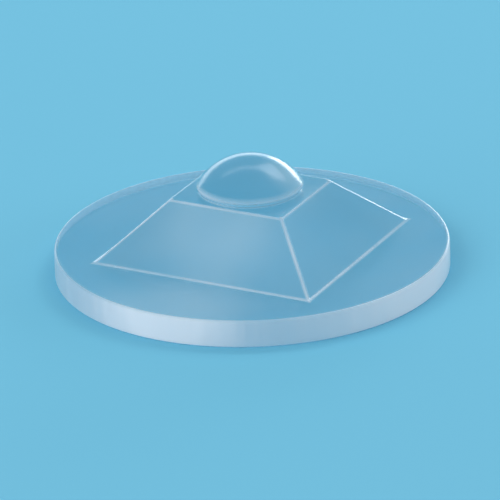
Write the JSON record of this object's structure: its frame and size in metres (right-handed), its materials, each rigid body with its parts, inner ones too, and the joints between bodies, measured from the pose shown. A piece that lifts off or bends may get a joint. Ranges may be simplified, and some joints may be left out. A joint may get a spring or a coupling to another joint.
{
  "type": "cabinet door bumper",
  "caption": "Clear plastic stick-on bumper: a round flat disc with a hipped rectangular mound and a low dome that a cabinet door or drawer front closes against.",
  "frame": {"origin": "centre of the flat round underside, which is glued to the cabinet", "axes": "+Z out of the underside through the top of the dome, towards the door; X along the mound's longer side, Y along its shorter side"},
  "size_m": [0.019, 0.019, 0.0057],
  "materials": {
    "clear_plastic": "clear soft plastic, slightly milky, satin on the flats and glossy on the dome"
  },
  "bodies": {
    "root": {"bumper": "clear_plastic"}
  },
  "joints": []
}
